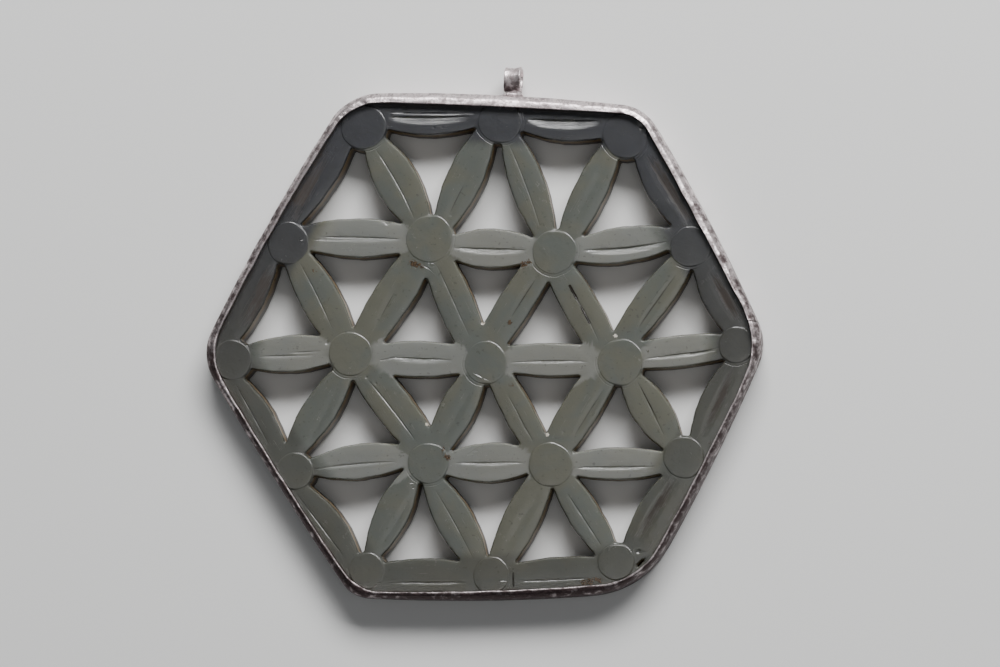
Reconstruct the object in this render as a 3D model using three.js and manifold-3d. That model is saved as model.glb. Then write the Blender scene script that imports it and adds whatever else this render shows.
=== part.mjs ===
// An openwork jade plaque: nineteen round bosses joined by forty-two petals, held in a
// hexagonal silver bezel with a strip loop on its upper side.
// It lies face up: +Z out of the face, +Y towards the loop, the bezel's underside at z = 0.
// Lengths are millimetres. One piece is one solid, in a mesh with its own name.
import * as THREE from "three";
import { mergeVertices } from "three/addons/utils/BufferGeometryUtils.js";
import Module from "manifold-3d";

// ---- Driving dimensions -------------------------------------------------------------

// Bosses, row by row from the loop down: [x, y, radius]. The work was laid out by eye.
const BOSS_ROWS = {
  A: [[-15.6, 28.1, 2.8], [1.9, 28.5, 2.7], [17.8, 26.4, 2.8]],
  B: [[-25.3, 13.4, 2.6], [-7.1, 13.7, 2.9], [8.8, 11.8, 2.7], [26.0, 12.2, 2.5]],
  C: [[-32.5, -1.4, 2.5], [-17.2, -0.8, 2.7], [0.1, -2.1, 2.6], [17.1, -2.2, 2.8], [31.7, -0.2, 2.2]],
  D: [[-24.3, -15.6, 2.3], [-7.2, -14.7, 2.5], [8.3, -15.0, 2.7], [25.0, -14.2, 2.5]],
  E: [[-15.0, -28.2, 2.2], [0.8, -28.8, 2.2], [16.5, -27.2, 2.2]],
};

// Petals, from boss to boss: [breadth at the middle, how far the petal stands to the left of
// the line between its bosses at its start and at its end, share of the breadth left at its tips].
const PETALS = {
  "A1-B2": [5.6, 0.2, -0.1, 0.2], "A2-B2": [4.8, -1.0, 0.7, 0.3], "A2-B3": [4.5, 0.5, -0.4, 0.3],
  "A3-B3": [4.3, -0.9, 0.6, 0.4], "B1-B2": [5.1, 0.8, 0.0, 0.4], "B1-C2": [5.1, 0.0, 0.0, 0.5],
  "B2-B3": [5.2, -0.9, 0.2, 0.1], "B2-C2": [5.1, 0.1, 0.5, 0.6], "B2-C3": [4.7, -0.2, -0.7, 0.6],
  "B3-B4": [4.7, -0.2, 1.4, 0.3], "B3-C3": [4.4, -0.6, -1.0, 0.8], "B3-C4": [4.5, -0.6, -0.9, 0.7],
  "B4-C4": [4.4, 0.2, -1.4, 0.5], "C1-C2": [4.8, 0.3, 0.6, 0.4], "C2-C3": [4.7, -0.5, 0.3, 0.5],
  "C2-D1": [4.5, 0.5, -1.5, 0.3], "C2-D2": [4.9, 0.2, 0.8, 0.6], "C3-C4": [4.3, 0.5, 0.2, 0.6],
  "C3-D2": [4.6, -0.5, 0.0, 0.4], "C3-D3": [3.8, 0.6, -0.5, 0.7], "C4-C5": [4.1, 0.6, 0.0, 0.7],
  "C4-D3": [4.8, -1.1, -0.6, 0.7], "C4-D4": [4.9, -0.2, -0.2, 0.2], "D1-D2": [4.6, 0.3, 1.2, 0.2],
  "D2-D3": [5.1, -0.2, 0.6, 0.2], "D2-E1": [4.4, -1.3, -0.4, 0.2], "D2-E2": [4.7, -0.7, -0.8, 0.3],
  "D3-D4": [4.2, 0.0, -0.6, 0.4], "D3-E2": [4.6, -0.3, 0.2, 0.5], "D3-E3": [4.1, 0.2, -0.3, 0.5],
};

// Petals along the bezel, clockwise, so that they stand out towards the metal.
const EDGE_PETALS = {
  "A1-A2": [4.9, 1.2, 0.9, 0.3], "A2-A3": [4.9, 0.6, 1.0, 0.3], "A3-B4": [4.9, 1.1, 1.0, 0.3],
  "B4-C5": [4.9, 0.8, 0.8, 0.4], "C5-D4": [4.9, 1.0, 1.1, 0.3], "D4-E3": [4.9, 0.7, 1.1, 0.4],
  "E3-E2": [4.9, 1.1, 0.9, 0.7], "E2-E1": [4.9, 0.5, 0.6, 0.5], "E1-D1": [4.9, 1.0, 1.2, 0.3],
  "D1-C1": [4.9, 1.1, 1.4, 0.3], "C1-B1": [4.6, 1.7, 1.7, 0.4], "B1-A1": [4.5, 1.5, 1.4, 0.4],
};

const JADE_BACK = 0.75; // flat back
const BOSS_TOP = 4.5; // flat top of a boss
const PETAL_CREST = 4.25; // highest line of a petal, on both sides of its groove
const PETAL_SHOULDER = 3.9; // where the top meets a petal's sawn side
const HUB_TOP = 4.05; // web between the petals round a boss
const HUB_OVER_BOSS = 0.3; // how far that web reaches past the boss
const EDGE_TOP = 3.6; // plain edge that the bezel holds
const GROOVE_DEPTH = 0.4; // cut along the middle of a petal
const GROOVE_HALF = 0.55; // half its breadth at its middle
const GROOVE_ENDS = 0.17; // share of a petal, at each tip, that has no groove
const GROOVE_TIPS = 0.3; // share of its breadth left where it runs out
const PETAL_STATIONS = 8;
const BOSS_SIDES = 18;

// The bezel: corners clockwise from the one left of the loop, as [x, y, radius, bow of the
// side that follows], for its outer wall and for the hammered edge of its lip.
const WALL_CORNERS = [
  [-17.8, 32.9, 7.4, 0.5], [20.3, 30.3, 5.6, 0.4], [35.6, 0.3, 6.5, 0.3],
  [19.8, -31.4, 11.9, 0.4], [-17.0, -31.7, 4.0, 0.2], [-37.0, -0.7, 6.1, 0.5],
];
const LIP_CORNERS = [
  [-17.3, 31.4, 6.6, 0.1], [19.6, 29.0, 4.4, 0.1], [34.9, -0.1, 9.8, 0.2],
  [19.5, -30.0, 9.2, 0.3], [-16.2, -31.0, 6.1, 0.2], [-35.8, -0.7, 7.5, 0.4],
];
const CORNER_STEPS = 5;
const SIDE_STEPS = 4;

// Section of the bezel as [share of the way from the wall to the lip's edge, height].
const BEZEL_SECTION = [
  [0.0, 0.3], [0.18, 0.0], [1.0, 0.0], [1.0, 0.42], [0.33, 0.42], [0.33, 4.78],
  [1.0, 4.78], [1.0, 5.15], [0.55, 5.05], [0.17, 4.55], [0.0, 3.8],
];
const JADE_EDGE = 0.56; // where the plaque ends, as such a share
const JADE_EDGE_INNER = 1.66; // how far in its plain edge reaches

// The loop: a strip bent round into a pear shape, open from side to side.
const LOOP_X = 3.3; // middle of the strip
const LOOP_FOOT = 32.35; // where it stands on the bezel
const LOOP_HEIGHT = 3.25;
const LOOP_DEPTH = 3.1;
const LOOP_BREADTH = 2.1;
const LOOP_THICKNESS = 0.5;
const LOOP_LEAN = 0.06; // radians, towards +X at its top
// Its bends, as shares of half its depth and of its height.
const LOOP_NECK = 0.55;
const LOOP_BELLY = [1.35, 0.45];
const LOOP_CROWN = [1.15, 1];
const LOOP_STEPS = 7;
// The puddle of solder under it.
const FOOT_BREADTH = 3.0;
const FOOT_DEPTH = 2.6;
const FOOT_HEIGHT = 0.55;
const FOOT_TAPER = 0.62;
const HALF_DEPTH = 2.6; // height of the bezel's middle line

// ---- Colours and finishes -----------------------------------------------------------

const JADE = new THREE.MeshStandardMaterial({ color: 0x8b9079, roughness: 0.38, metalness: 0 });
const SILVER = new THREE.MeshStandardMaterial({ color: 0xa89c98, roughness: 0.36, metalness: 1 });

// ---- Solids -------------------------------------------------------------------------

const wasm = await Module();
wasm.setup();

// A closed geometry as a solid that can be joined and cut.
function solid(geometry) {
  const bare = geometry.clone();
  bare.deleteAttribute("normal");
  bare.deleteAttribute("uv");
  const merged = mergeVertices(bare);
  return new wasm.Manifold(new wasm.Mesh({
    numProp: 3,
    vertProperties: new Float32Array(merged.attributes.position.array),
    triVerts: new Uint32Array(merged.index.array),
  }));
}

// A solid's surface as a geometry.
function surface(shape) {
  const mesh = shape.getMesh();
  const geometry = new THREE.BufferGeometry();
  geometry.setAttribute("position", new THREE.BufferAttribute(mesh.vertProperties, 3));
  geometry.setIndex(new THREE.BufferAttribute(mesh.triVerts, 1));
  return geometry;
}

function piece(name, geometry, material) {
  const mesh = new THREE.Mesh(geometry, material);
  mesh.name = name;
  return mesh;
}

// ---- Outlines of the bezel ----------------------------------------------------------

// Points round a hexagon with rounded corners and slightly bowed sides, always as many.
function hexagon(corners) {
  const at = (i) => new THREE.Vector2(...corners[(i + 6) % 6]);
  const bends = corners.map(([, , radius], i) => {
    const toLast = at(i - 1).sub(at(i)).normalize();
    const toNext = at(i + 1).sub(at(i)).normalize();
    const half = Math.acos(toLast.dot(toNext)) / 2;
    const middle = toLast.clone().add(toNext).setLength(radius / Math.sin(half)).add(at(i));
    const run = radius / Math.tan(half);
    const start = toLast.setLength(run).add(at(i));
    const end = toNext.setLength(run).add(at(i));
    return { radius, middle, start, end, turn: Math.PI - 2 * half };
  });
  return bends.flatMap((bend, i) => {
    const { radius, middle, start, end, turn } = bend;
    const first = start.clone().sub(middle).angle();
    const arc = Array.from({ length: CORNER_STEPS + 1 }, (_, k) => {
      const angle = first - (turn * k) / CORNER_STEPS;
      return new THREE.Vector2(Math.cos(angle), Math.sin(angle)).multiplyScalar(radius).add(middle);
    });
    const next = bends[(i + 1) % 6].start;
    const out = next.clone().sub(end).rotateAround(new THREE.Vector2(), Math.PI / 2);
    const peak = end.clone().lerp(next, 0.5).add(out.setLength(2 * corners[i][3]));
    const side = new THREE.QuadraticBezierCurve(end, peak, next).getPoints(SIDE_STEPS);
    return [...arc, ...side.slice(1, -1)];
  });
}

const wallLine = hexagon(WALL_CORNERS);
const lipLine = hexagon(LIP_CORNERS);

// The line that runs at a given share of the way from the wall to the lip's edge.
const bezelLine = (share) => wallLine.map((point, i) => point.clone().lerp(lipLine[i], share));

// An upright prism on an outline that runs clockwise, with an opening or none.
function prism(points, bottom, top, hole) {
  const shape = new THREE.Shape(points.toReversed());
  if (hole) shape.holes.push(new THREE.Path(hole));
  const geometry = new THREE.ExtrudeGeometry(shape, { depth: top - bottom, bevelEnabled: false });
  return geometry.translate(0, 0, bottom);
}

// ---- Silver bezel -------------------------------------------------------------------

// The section swept round the outlines: one ring of vertices for each corner of the section.
function bezel() {
  const rings = BEZEL_SECTION.map(([share, z]) => bezelLine(share).map(({ x, y }) => [x, y, z]));
  const around = wallLine.length;
  const positions = rings.flat(2);
  const index = [];
  rings.forEach((_, j) => {
    const next = (j + 1) % rings.length;
    for (let i = 0; i < around; i += 1) {
      const k = (i + 1) % around;
      const [a, b, c, d] = [j * around + i, j * around + k, next * around + k, next * around + i];
      index.push(a, b, c, a, c, d);
    }
  });
  const geometry = new THREE.BufferGeometry();
  geometry.setAttribute("position", new THREE.Float32BufferAttribute(positions, 3));
  geometry.setIndex(index);
  return geometry;
}

// ---- Hanging loop -------------------------------------------------------------------

// A strip bent round an opening that runs along X, on a low puddle of solder.
function loop() {
  const pear = (inset) => {
    const half = LOOP_DEPTH / 2 - inset;
    const top = LOOP_HEIGHT - inset;
    const [belly, crown] = [LOOP_BELLY, LOOP_CROWN].map(([out, up]) => [out * half, up * top]);
    const shape = new THREE.Path();
    shape.moveTo(LOOP_NECK * half, inset);
    shape.bezierCurveTo(...belly, ...crown, 0, top);
    shape.bezierCurveTo(-crown[0], crown[1], -belly[0], belly[1], -LOOP_NECK * half, inset);
    return shape.getPoints(LOOP_STEPS);
  };
  const strip = new THREE.Shape(pear(0));
  strip.holes.push(new THREE.Path(pear(LOOP_THICKNESS)));
  const band = new THREE.ExtrudeGeometry(strip, { depth: LOOP_BREADTH, bevelEnabled: false });
  band.translate(0, 0, -LOOP_BREADTH / 2).rotateY(Math.PI / 2).rotateZ(-LOOP_LEAN);
  const foot = new THREE.CylinderGeometry(FOOT_TAPER, 1, FOOT_HEIGHT, 14);
  foot.scale(FOOT_BREADTH / 2, 1, FOOT_DEPTH / 2).translate(0, FOOT_HEIGHT / 2, 0);
  return surface(solid(band).add(solid(foot)));
}

// ---- Jade plaque --------------------------------------------------------------------

const bosses = Object.fromEntries(
  Object.entries(BOSS_ROWS).flatMap(([row, list]) =>
    list.map(([x, y, radius], i) => [row + (i + 1), { x, y, radius }])),
);

// Breadth of a petal or its groove at a share t of its length, as a share of the broadest.
const swell = (t, tips) => tips + (1 - tips) * Math.sin(Math.PI * t);

// Where the lengthwise lines of a petal's top run, from its right side to its left:
// [share of the half breadth, number of groove halves, height]. The middle one is the floor
// of the groove.
const PETAL_LINES = [
  [-1, 0, PETAL_SHOULDER], [0, -1, PETAL_CREST], [0, 0, PETAL_CREST], [0, 1, PETAL_CREST],
  [1, 0, PETAL_SHOULDER],
];

// A bar from boss to boss, swollen in its middle, with a roofed top and a groove that
// tapers out before both bosses.
function petal(name, [breadth, startLean, endLean, tips]) {
  const [start, end] = name.split("-").map((key) => bosses[key]);
  const length = Math.hypot(end.x - start.x, end.y - start.y);
  const lines = PETAL_LINES.length - 1;
  const bar = new THREE.BoxGeometry(1, 2, 1, PETAL_STATIONS, lines, 1);
  const vertices = bar.attributes.position;
  for (let i = 0; i < vertices.count; i += 1) {
    const t = vertices.getX(i) + 0.5;
    const [share, grooves, height] = PETAL_LINES[Math.round((lines * (vertices.getY(i) + 1)) / 2)];
    const inGroove = THREE.MathUtils.clamp((t - GROOVE_ENDS) / (1 - 2 * GROOVE_ENDS), 0, 1);
    const groove = Math.sqrt(Math.sin(Math.PI * inGroove));
    const half = (breadth / 2) * swell(t, tips);
    const across = share * half + grooves * GROOVE_HALF * Math.max(groove, GROOVE_TIPS);
    const floor = share === 0 && grooves === 0 ? GROOVE_DEPTH * groove : 0;
    const lean = THREE.MathUtils.lerp(startLean, endLean, t);
    vertices.setXYZ(i, t * length, across + lean, vertices.getZ(i) > 0 ? height - floor : 0);
  }
  bar.rotateZ(Math.atan2(end.y - start.y, end.x - start.x)).translate(start.x, start.y, 0);
  return solid(bar);
}

// An upright disc round a boss's centre, from below the back up to a height.
function disc({ x, y }, radius, top) {
  const geometry = new THREE.CylinderGeometry(radius, radius, top, BOSS_SIDES);
  return solid(geometry.rotateX(Math.PI / 2).translate(x, y, top / 2));
}

// Everything runs down to z = 0 and is cut off flat at the back, and at the outer edge.
function plaque() {
  const edge = bezelLine(JADE_EDGE);
  const inner = bezelLine(JADE_EDGE_INNER);
  let work = solid(prism(edge, 0, EDGE_TOP, inner));
  for (const [name, sizes] of Object.entries({ ...PETALS, ...EDGE_PETALS })) {
    work = work.add(petal(name, sizes));
  }
  for (const boss of Object.values(bosses)) {
    work = work.add(disc(boss, boss.radius + HUB_OVER_BOSS, HUB_TOP));
    work = work.add(disc(boss, boss.radius, BOSS_TOP));
  }
  return surface(work.intersect(solid(prism(edge, JADE_BACK, BOSS_TOP + 1))));
}

// ---- The object ---------------------------------------------------------------------

const group = new THREE.Group();
const jade = piece("jade_plaque", plaque(), JADE);
const rim = piece("silver_rim", bezel(), SILVER);
const hanger = piece("hanging_loop", loop(), SILVER);
hanger.position.set(LOOP_X, LOOP_FOOT, HALF_DEPTH);
group.add(jade, rim, hanger);

// The middle of the underside is the origin.
const box = new THREE.Box3().setFromObject(group);
const middle = box.getCenter(new THREE.Vector3());
group.position.set(-middle.x, -middle.y, -box.min.z);

export default group;
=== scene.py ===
import math

import bmesh
import bpy
import numpy as np
from mathutils import Matrix, Vector, geometry, kdtree


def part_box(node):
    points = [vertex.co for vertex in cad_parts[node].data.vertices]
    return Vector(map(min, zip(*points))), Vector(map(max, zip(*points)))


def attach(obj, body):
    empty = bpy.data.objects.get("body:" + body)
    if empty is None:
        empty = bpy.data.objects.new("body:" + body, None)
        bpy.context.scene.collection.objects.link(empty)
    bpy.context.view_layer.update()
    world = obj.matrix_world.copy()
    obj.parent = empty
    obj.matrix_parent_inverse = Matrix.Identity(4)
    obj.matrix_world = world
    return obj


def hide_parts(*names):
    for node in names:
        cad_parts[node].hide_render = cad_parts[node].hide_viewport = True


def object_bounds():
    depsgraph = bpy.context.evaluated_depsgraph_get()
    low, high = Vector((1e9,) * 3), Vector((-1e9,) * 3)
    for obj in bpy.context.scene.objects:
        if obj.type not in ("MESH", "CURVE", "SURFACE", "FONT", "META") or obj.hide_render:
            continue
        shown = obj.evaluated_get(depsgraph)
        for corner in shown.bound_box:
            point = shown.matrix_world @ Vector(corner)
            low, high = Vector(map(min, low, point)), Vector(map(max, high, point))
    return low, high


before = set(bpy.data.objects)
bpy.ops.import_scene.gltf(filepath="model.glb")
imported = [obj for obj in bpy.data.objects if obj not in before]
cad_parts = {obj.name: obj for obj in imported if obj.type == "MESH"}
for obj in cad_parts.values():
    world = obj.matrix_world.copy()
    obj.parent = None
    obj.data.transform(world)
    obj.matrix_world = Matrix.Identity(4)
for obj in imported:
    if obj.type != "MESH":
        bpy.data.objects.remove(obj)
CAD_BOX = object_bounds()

bl_info = {
    "name": "Openwork Jade Plaque",
    "version": (1, 0, 0),
    "blender": (4, 5, 0),
    "location": "View3D > Sidebar > Jade Plaque",
    "description": "Carves and finishes an openwork jade plaque in its silver bezel",
    "category": "Object",
}

MM = 0.001

# ---- Layout of the carving, in millimetres, as the frame's source has it ----------------

# Bosses: [x, y, radius].
BOSSES = {
    "A1": (-15.6, 28.1, 2.8), "A2": (1.9, 28.5, 2.7), "A3": (17.8, 26.4, 2.8),
    "B1": (-25.3, 13.4, 2.6), "B2": (-7.1, 13.7, 2.9), "B3": (8.8, 11.8, 2.7), "B4": (26.0, 12.2, 2.5),
    "C1": (-32.5, -1.4, 2.5), "C2": (-17.2, -0.8, 2.7), "C3": (0.1, -2.1, 2.6), "C4": (17.1, -2.2, 2.8),
    "C5": (31.7, -0.2, 2.2),
    "D1": (-24.3, -15.6, 2.3), "D2": (-7.2, -14.7, 2.5), "D3": (8.3, -15.0, 2.7), "D4": (25.0, -14.2, 2.5),
    "E1": (-15.0, -28.2, 2.2), "E2": (0.8, -28.8, 2.2), "E3": (16.5, -27.2, 2.2),
}

# Wheel-cut grooves: start, end, breadth of the scooped side, depth, bow to the left. The scooped
# side is on the right of the way from start to end.
SCOOPS = [
    (-12.4, 29.3, -2.0, 29.2, 1.05, 0.34, 0.0),
    (5.4, 28.7, 14.6, 28.3, 1.20, 0.40, 0.0),
    (-21.2, 14.1, -10.8, 13.7, 0.70, 0.18, 0.1),
    (-4.0, 12.5, 5.2, 12.1, 0.80, 0.24, 0.0),
    (12.4, 12.0, 23.0, 12.9, 0.85, 0.30, -0.25),
    (-29.0, -1.0, -21.8, -0.9, 0.40, 0.12, 0.0),
    (-12.2, -1.3, -4.2, -1.7, 0.70, 0.18, 0.0),
    (3.2, -2.1, 13.0, -2.1, 0.40, 0.13, 0.15),
    (20.2, -1.8, 29.2, -0.8, 0.50, 0.18, 0.0),
    (-22.0, -15.4, -11.2, -14.5, 0.40, 0.14, 0.2),
    (-3.8, -14.7, 4.9, -14.7, 0.45, 0.16, 0.0),
    (11.6, -15.4, 21.4, -15.3, 0.50, 0.18, 0.0),
    (-12.4, -29.7, -2.3, -29.7, 0.40, 0.15, 0.0),
    (3.9, -29.6, 13.3, -29.2, 0.40, 0.14, 0.0),
]
# Second passes of the wheel beside some of them.
SECOND_CUTS = [
    (-12.4, 29.9, -1.2, 29.6, 0.30, 0.12, 0.0), (-22.0, 13.8, -16.8, 13.8, 0.30, 0.08, 0.0),
    (-25.0, -0.6, -21.0, -0.4, 0.20, 0.10, 0.0), (-13.6, -1.7, -11.5, -1.3, 0.20, 0.10, 0.0),
    (25.4, -1.4, 29.6, -0.5, 0.25, 0.10, 0.0),
]
# Plain creases, in the same form.
CREASES = [
    (-14.0, 25.2, -9.0, 16.2, 0.40, 0.08, 0.25),
    (3.1, 25.5, 7.0, 15.0, 0.40, 0.05, 0.15),
    (-23.7, 10.8, -19.5, 2.4, 0.30, 0.07, 0.1),
    (-6.2, 10.4, -2.0, 1.3, 0.28, 0.06, 0.0),
    (10.4, 8.0, 14.4, 0.4, 0.26, 0.06, 0.15),
    (-14.9, -4.1, -8.8, -11.9, 0.40, 0.09, 0.1),
    (2.9, -6.2, 6.1, -12.1, 0.40, 0.06, 0.0),
    (19.2, -4.6, 22.6, -11.5, 0.40, 0.07, 0.0),
    (-32.0, -4.4, -27.6, -12.2, 0.35, 0.08, 0.0),
    (-24.0, -18.5, -18.0, -26.3, 0.35, 0.10, 0.0),
    (-6.3, -18.1, -1.6, -26.5, 0.35, 0.06, 0.1),
    (10.4, -18.6, 14.7, -25.2, 0.60, 0.06, 0.0),
]
# Broad shallow hollows along the other petals, in the same form.
HOLLOWS = [
    (-2.2, 21.6, -5.1, 15.9, 0.80, 0.09, 0.0),
    (-11.0, 8.0, -14.0, 2.6, 0.80, 0.09, 0.0),
    (6.9, 9.2, 2.9, 3.0, 0.70, 0.09, 0.0),
    (24.5, 9.2, 19.0, 1.5, 0.70, 0.11, 0.1),
    (15.2, -5.2, 11.0, -11.8, 0.70, 0.09, 0.0),
    (15.6, 23.2, 11.0, 15.0, 0.80, 0.07, 0.0),
    (-1.6, -5.2, -5.4, -11.8, 0.80, 0.07, 0.0),
    (-18.4, -4.4, -22.6, -12.4, 0.80, 0.07, 0.0),
    (-8.6, -18.0, -13.4, -25.4, 0.80, 0.07, 0.0),
    (7.0, -18.4, 2.4, -25.6, 0.80, 0.07, 0.0),
    (31.3, -3.2, 27.3, -11.6, 0.80, 0.16, 0.0),
    (23.9, -16.8, 19.1, -24.6, 0.90, 0.18, 0.0),
    (-20.5, 23.6, -24.6, 16.6, 0.90, 0.14, 0.0),
    (20.3, 24.0, 25.9, 14.9, 0.90, 0.13, 0.0),
    (-26.4, 10.8, -30.5, 3.2, 0.90, 0.14, 0.0),
    (28.2, 9.0, 31.6, 2.8, 0.80, 0.12, 0.0),
]
# Slips of the wheel and later scratches: start, end, breadth, depth.
SCRATCHES = [
    (-14.1, 29.3, -13.3, 29.3, 0.22, 0.10), (15.1, 28.1, 16.3, 28.1, 0.20, 0.09),
    (-24.0, 13.8, -23.0, 13.8, 0.20, 0.10), (-13.9, -29.7, -12.9, -29.7, 0.24, 0.10),
    (1.7, -29.5, 3.0, -29.5, 0.24, 0.11), (-8.3, 10.6, -6.8, 9.6, 0.20, 0.09),
    (-7.8, 10.8, -6.2, 9.0, 0.18, 0.08), (-7.3, 10.9, -6.2, 10.3, 0.18, 0.07),
    (-1.8, -3.2, 1.0, -4.6, 0.26, 0.14), (-2.4, -13.8, -0.2, -12.3, 0.26, 0.12),
    (-1.7, -13.7, -0.6, -12.9, 0.18, 0.08), (17.7, -26.5, 18.9, -25.3, 0.22, 0.11),
    (-9.8, -17.2, -8.8, -17.2, 0.18, 0.08), (-9.5, -17.8, -8.7, -17.9, 0.18, 0.08),
    (-24.9, 8.1, -24.1, 8.6, 0.16, 0.07),
]
# Chips: x, y, radius, depth.
CHIPS = [
    (-12.4, 15.9, 0.42, 0.30), (-6.6, 27.9, 0.22, 0.08), (-5.5, 27.9, 0.20, 0.07),
    (19.9, 27.4, 0.35, 0.16), (20.6, 26.6, 0.30, 0.14),
    (-20.2, 0.6, 0.28, 0.12), (-15.1, -3.8, 0.24, 0.10), (19.3, -25.9, 0.4, 0.16),
    (21.4, -26.2, 0.35, 0.14), (-13.9, -4.6, 0.22, 0.08), (9.9, -10.9, 0.2, 0.06),
]
# A second line left outside a boss by the tube drill: boss, middle and half of its span in
# degrees clockwise from the loop's side, strength.
ARCS = [
    ("A1", 150, 28, 1.0), ("A2", 120, 60, 0.7), ("A2", 225, 25, 1.0), ("A3", 215, 35, 1.0),
    ("A3", 140, 25, 1.0), ("B3", 170, 70, 0.8), ("B3", 105, 30, 0.6), ("B4", 190, 25, 1.0),
    ("C3", 225, 45, 0.5), ("C3", 265, 30, 0.4), ("C4", 220, 60, 0.4), ("C5", 185, 45, 1.0),
    ("C2", 200, 50, 0.5), ("D2", 190, 60, 0.5), ("B2", 105, 30, 0.7),
]
# The open crack and the brown hairlines: start, end, breadth, darkness. The open crack is painted near
# black, as the shade inside it.
VEINS = [
    (10.6, 7.7, 11.7, 5.7, 0.19, 4.0), (12.1, 4.9, 13.3, 2.6, 0.15, 4.0), (11.6, 5.8, 12.2, 4.8, 0.08, 2.0),
    (-2.7, 20.6, -4.5, 17.0, 0.10, 0.4), (-11.6, 6.9, -13.4, 3.7, 0.10, 0.4),
    (6.4, 8.4, 3.3, 3.6, 0.10, 0.6),
    (24.1, 8.7, 19.3, 2.0, 0.10, 0.6), (14.9, -5.7, 11.3, -11.3, 0.10, 0.35),
    (19.6, -5.3, 21.8, -9.6, 0.10, 0.6),
    (3.5, -27.8, 3.6, -30.6, 0.16, 0.9), (3.9, -8.2, 5.6, -11.4, 0.09, 0.4),
]
# Dark bands beside the bezel, of dirt and, along the top, of painted shade under the lip: start, end, half
# breadth, strength.
BANDS = [
    (-20.4, 24.6, -25.4, 15.6, 0.75, 0.75), (-13.0, 30.5, -1.5, 30.2, 0.3, 0.4),
    (4.8, 30.1, 15.5, 29.5, 0.3, 0.5),
    (20.7, 24.0, 26.2, 14.9, 0.60, 0.95), (-26.8, 11.2, -31.2, 2.6, 0.80, 0.85),
    (28.6, 8.8, 32.0, 3.0, 0.55, 0.95),
    (31.2, -3.4, 27.4, -11.6, 0.42, 0.9), (23.9, -16.9, 19.1, -24.5, 0.50, 0.9),
    (-33.2, -4.6, -28.4, -13.2, 0.5, 0.7),
    (-25.4, -18.2, -19.4, -26.8, 0.4, 0.5), (-12.5, -30.9, -1.8, -31.1, 0.3, 0.4),
]
# Brown crumbs caught in the corners, and whitish spots at some corners: x, y, radius.
CRUMBS = [
    (-9.3, 10.6, 0.55), (-8.3, 10.2, 0.40), (4.9, 10.3, 0.50), (5.6, 10.5, 0.40), (13.2, -29.7, 0.55),
    (12.4, -29.8, 0.45), (14.3, -29.5, 0.40), (-4.8, -14.0, 0.45), (-5.3, -12.9, 0.30), (3.2, 3.0, 0.35),
    (-21.9, 9.8, 0.35), (20.6, -1.0, 0.30), (3.3, -4.8, 0.35),
]
WHITE_SPOTS = [(-0.3, 2.9, 0.28), (16.5, 1.1, 0.32), (-7.4, -9.8, 0.26), (7.9, -11.2, 0.28), (-16.6, 23.8, 0.22)]


# ---- Sizes and colours a user can change -------------------------------------------------


def length(name, description, millimetres):
    return bpy.props.FloatProperty(
        name=name, description=description, default=millimetres * MM, min=0.0, unit="LENGTH", precision=5
    )


def colour(name, description, red, green, blue):
    return bpy.props.FloatVectorProperty(
        name=name, description=description, default=(red, green, blue), min=0.0, max=1.0, size=3,
        subtype="COLOR",
    )


class JadeSettings(bpy.types.PropertyGroup):
    grain: length("Grain", "Spacing of the points that carry the carving", 0.11)
    crest: length("Crest", "Height of a petal along its middle", 4.27)
    fall: length("Fall", "How far a petal falls away to its edges", 0.12)
    fall_reach: length("Fall reach", "How far in from an edge the fall begins", 1.6)
    arris: length("Arris", "How far the worn arris of an edge is rounded down", 0.06)
    arris_reach: length("Arris reach", "Breadth of that rounding", 0.22)
    boss_top: length("Boss top", "Height of the flat bosses", 4.32)
    boss_step: length("Boss step", "Height of the crisp edge of a boss", 0.05)
    most_faces: bpy.props.IntProperty(
        name="Most triangles", description="Triangles that the carved plaque is thinned to", default=190000
    )
    body: colour("Body", "Jade in the middle of the plaque", 0.110, 0.120, 0.111)
    warm: colour("Warm", "Yellower clouds in the jade", 0.130, 0.129, 0.104)
    # Cool and Grey are painted shade beside the bezel: bluish at the loop's end, greyer at the other.
    bezel_shade_cool: colour("Cool", "Bluish jade next to the bezel, at the loop's end", 0.052, 0.053, 0.059)
    bezel_shade_grey: colour("Grey", "Greyer jade next to the bezel, at the other end", 0.072, 0.071, 0.062)
    ochre: colour("Ochre", "Skin colour on the sawn walls", 0.19, 0.125, 0.050)
    # Dirt also paints shade: deep in the openings and beside the lip.
    dirt_and_shade: colour("Dirt", "Old dirt in the corners", 0.022, 0.012, 0.006)


class SilverSettings(bpy.types.PropertyGroup):
    # Bright also paints the side of the silver that faces the key light, and Tarnish the side away from it.
    bright: colour("Bright", "Rubbed silver", 0.74, 0.66, 0.665)
    tarnish_and_shade: colour("Tarnish", "Dull brown tarnish", 0.060, 0.043, 0.044)
    hammer: length("Hammer marks", "Depth of the dents of the planishing hammer", 0.035)
    strip: length("Loop strip", "Breadth of the loop's strip", 2.1)


class StageSettings(bpy.types.PropertyGroup):
    distance: length("Camera distance", "How far the camera stands from the plaque", 470.0)
    floor: colour("Floor", "Pale floor", 0.88, 0.88, 0.87)
    key: bpy.props.FloatProperty(
        name="Key light", description="Power of the soft key light", default=6.0, unit="POWER"
    )


# ---- Shader nodes -------------------------------------------------------------------------


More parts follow.
